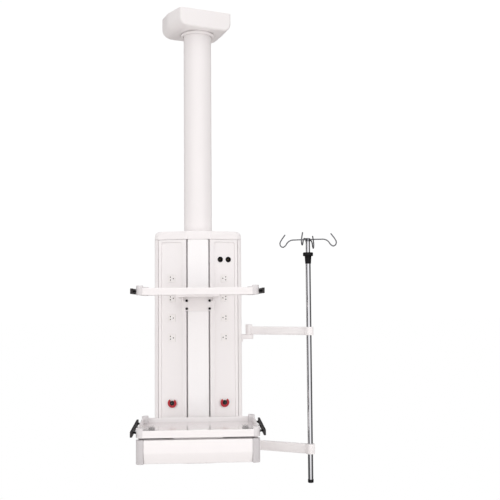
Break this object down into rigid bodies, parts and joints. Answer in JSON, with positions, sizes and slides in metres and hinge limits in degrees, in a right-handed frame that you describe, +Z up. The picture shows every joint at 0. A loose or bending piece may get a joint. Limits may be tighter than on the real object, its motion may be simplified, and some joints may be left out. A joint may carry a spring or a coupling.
{
  "type": "ceiling supply pendant with iv pole",
  "caption": "Ceiling-hung medical pendant: a service head with power, data and gas outlets, a shelf, a tray with a drawer, and an IV pole with hooks on swinging arms.",
  "frame": {"origin": "middle of the ceiling plate's top face, on the axis the pendant turns about", "axes": "+Z up, -Y towards the front where the drawer opens, +X towards the IV pole at the viewer's right"},
  "size_m": [0.9938, 0.7462, 2.4],
  "materials": {
    "white_paint": "warm white powder coat, satin",
    "panel_white": "off-white satin paint",
    "socket_plastic": "white moulded plastic",
    "grey_plastic": "light grey moulded plastic",
    "black_plastic": "black moulded plastic",
    "red_plastic": "glossy red plastic",
    "chrome": "polished chrome plate",
    "steel": "zinc-plated steel",
    "aluminium": "extruded aluminium",
    "hose": "matt rubber hose"
  },
  "bodies": {
    "ceiling_mount": {"ceiling_plate": "steel", "bearing_housing": "steel", "ceiling_cover": "white_paint", "cover_collar": "white_paint"},
    "service_head": {"drop_tube": "white_paint", "head_top_cap": "white_paint", "head_bottom_cap": "white_paint", "head_spine": "aluminium", "centre_cover": "white_paint", "rear_cover": "white_paint", "left_shell": "white_paint", "right_shell": "white_paint", "left_panel": "panel_white", "right_panel": "panel_white", "socket_left_1": "socket_plastic", "socket_left_2": "socket_plastic", "socket_left_3": "socket_plastic", "socket_left_4": "socket_plastic", "socket_right_1": "socket_plastic", "socket_right_2": "socket_plastic", "socket_right_3": "socket_plastic", "socket_right_4": "socket_plastic", "data_outlet_1": "black_plastic", "data_outlet_2": "black_plastic", "gas_outlet_left": "black_plastic", "gas_outlet_right": "black_plastic", "gas_hose_left": "hose", "gas_hose_right": "hose", "tray_frame": "white_paint", "tray_deck": "panel_white", "tray_rail_left": "black_plastic", "tray_rail_right": "black_plastic", "tray_bracket": "white_paint", "drawer_housing": "white_paint", "drawer_post_left": "grey_plastic", "drawer_post_right": "grey_plastic", "pole_lug_upper": "white_paint", "pole_lug_lower": "white_paint"},
    "slide_middles": {"slide_middle_left": "steel", "slide_middle_right": "steel"},
    "drawer": {"drawer_box": "panel_white", "drawer_front": "white_paint"},
    "gas_ring_left": {"gas_ring_left": "red_plastic"},
    "gas_ring_right": {"gas_ring_right": "red_plastic"},
    "shelf": {"shelf_frame": "white_paint", "shelf_deck": "panel_white", "shelf_rail_left": "black_plastic", "shelf_rail_right": "black_plastic", "shelf_bracket": "white_paint", "clamp_screw_1": "black_plastic", "clamp_screw_2": "black_plastic", "clamp_screw_3": "black_plastic", "clamp_screw_4": "black_plastic"},
    "iv_arm": {"arm_upper": "white_paint", "arm_lower": "white_paint", "pole_outer": "chrome", "pole_foot_cap": "black_plastic"},
    "lock_collar": {"lock_collar": "black_plastic"},
    "pole_inner": {"pole_inner_tube": "chrome"},
    "hook_head": {"hook_head": "chrome"}
  },
  "joints": [
    {"name": "pendant_swivel", "type": "hinge", "parent": "ceiling_mount", "child": "service_head", "pos_m": [0, 0, 0], "axis": [0, 0, 1], "range_deg": [-165, 165]},
    {"name": "shelf_height", "type": "slide", "parent": "service_head", "child": "shelf", "axis": [0, 0, 1], "range_m": [-0.12, 0.18]},
    {"name": "drawer_slide", "type": "slide", "parent": "service_head", "child": "drawer", "axis": [0, -1, 0], "range_m": [0, 0.3]},
    {"name": "slide_middle_travel", "type": "slide", "parent": "service_head", "child": "slide_middles", "axis": [0, -1, 0], "range_m": [0, 0.15]},
    {"name": "gas_ring_left_press", "type": "slide", "parent": "service_head", "child": "gas_ring_left", "axis": [0.3098, 0.9508, 0], "range_m": [0, 0.004], "stiffness_N_per_m": 1500},
    {"name": "gas_ring_right_press", "type": "slide", "parent": "service_head", "child": "gas_ring_right", "axis": [-0.3098, 0.9508, 0], "range_m": [0, 0.004], "stiffness_N_per_m": 1500},
    {"name": "iv_arm_swing", "type": "hinge", "parent": "service_head", "child": "iv_arm", "pos_m": [0.262, 0, -1.6727], "axis": [0, 0, 1], "range_deg": [-22, 110]},
    {"name": "collar_twist", "type": "hinge", "parent": "iv_arm", "child": "lock_collar", "pos_m": [0.554, -0.159, -1.2625], "axis": [0, 0, 1], "range_deg": [-60, 60]},
    {"name": "pole_telescope", "type": "slide", "parent": "iv_arm", "child": "pole_inner", "axis": [0, 0, 1], "range_m": [-0.05, 0.45]},
    {"name": "hooks_turn", "type": "hinge", "parent": "pole_inner", "child": "hook_head", "pos_m": [0.554, -0.159, -1.193], "axis": [0, 0, 1], "continuous": true}
  ],
  "couplings": [
    {"joint": "slide_middle_travel", "follows": "drawer_slide", "ratio": 0.5}
  ]
}
